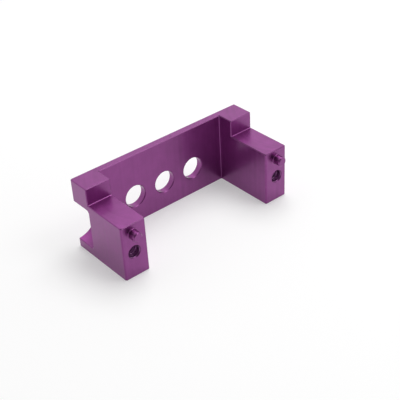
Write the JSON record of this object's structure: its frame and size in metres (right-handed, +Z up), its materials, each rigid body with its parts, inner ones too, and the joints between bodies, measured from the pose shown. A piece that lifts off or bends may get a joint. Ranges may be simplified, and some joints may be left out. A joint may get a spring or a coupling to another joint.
{
  "type": "servo mount bracket",
  "caption": "U-shaped servo mount bracket milled from violet anodised aluminium, with a drilled rear wall, stepped arms, tapped holes and locating pins in the arms' fronts.",
  "frame": {"origin": "centre of the bounding box at the level of the base", "axes": "+Z up, X along the bracket's length, the arms and pins point to -Y and the wall stands on the +Y side"},
  "size_m": [0.057, 0.0236, 0.0214],
  "materials": {
    "anodised_aluminium": "violet anodised, satin, as milled"
  },
  "bodies": {
    "root": {"servo_mount": "anodised_aluminium"}
  },
  "joints": []
}
